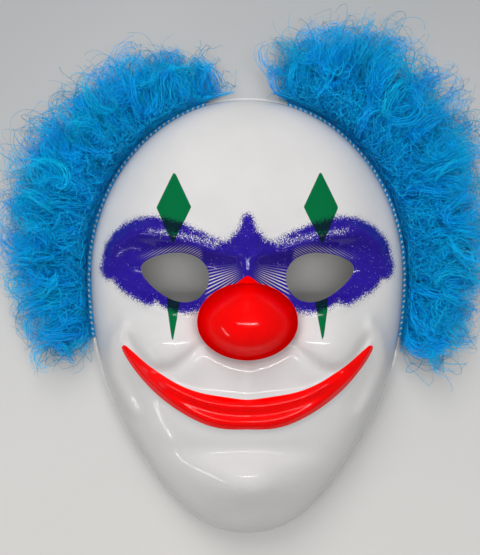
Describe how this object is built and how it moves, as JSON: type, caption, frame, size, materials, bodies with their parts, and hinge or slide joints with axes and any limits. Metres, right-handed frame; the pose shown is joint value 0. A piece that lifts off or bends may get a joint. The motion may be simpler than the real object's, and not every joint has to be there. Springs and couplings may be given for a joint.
{
  "type": "clown mask",
  "caption": "Formed plastic clown mask with curly hair sewn to both sides of its rim and an elastic strap that holds it over the face.",
  "frame": {"origin": "on the resting plane, under the middle of the whole mask with its hair", "axes": "+Z out of the face, +Y towards the forehead, +X to the right as seen from the front"},
  "size_m": [0.2793, 0.2966, 0.0883],
  "materials": {
    "shell": "gloss white formed sheet with printed colours",
    "hair": "curly synthetic fibre",
    "tape": "woven",
    "thread": "twisted",
    "elastic": "woven elastic",
    "rivet": "nickel plated"
  },
  "bodies": {
    "shell": {"face_shell": "shell", "left_hair_tape": "tape", "right_hair_tape": "tape", "left_sewing_thread": "thread", "right_sewing_thread": "thread", "left_strap_rivet": "rivet", "right_strap_rivet": "rivet", "left_rivet_washer": "rivet", "right_rivet_washer": "rivet"},
    "strap": {"elastic_strap": "elastic"},
    "left_hair": {"left_back_weft": "hair", "left_front_weft": "hair"},
    "right_hair": {"right_back_weft": "hair", "right_front_weft": "hair"}
  },
  "joints": [
    {"name": "strap_swing", "type": "hinge", "parent": "shell", "child": "strap", "pos_m": [0, 0.0046, 0.008], "axis": [-1, 0, 0], "range_deg": [0, 173]},
    {"name": "left_hair_fold", "type": "hinge", "parent": "shell", "child": "left_hair", "pos_m": [-0.07445, 0.05424, 0.0012], "axis": [0.4647, 0.8855, 0], "range_deg": [-50, 35]},
    {"name": "right_hair_fold", "type": "hinge", "parent": "shell", "child": "right_hair", "pos_m": [0.07445, 0.05424, 0.0012], "axis": [0.4647, -0.8855, 0], "range_deg": [-50, 35]}
  ]
}
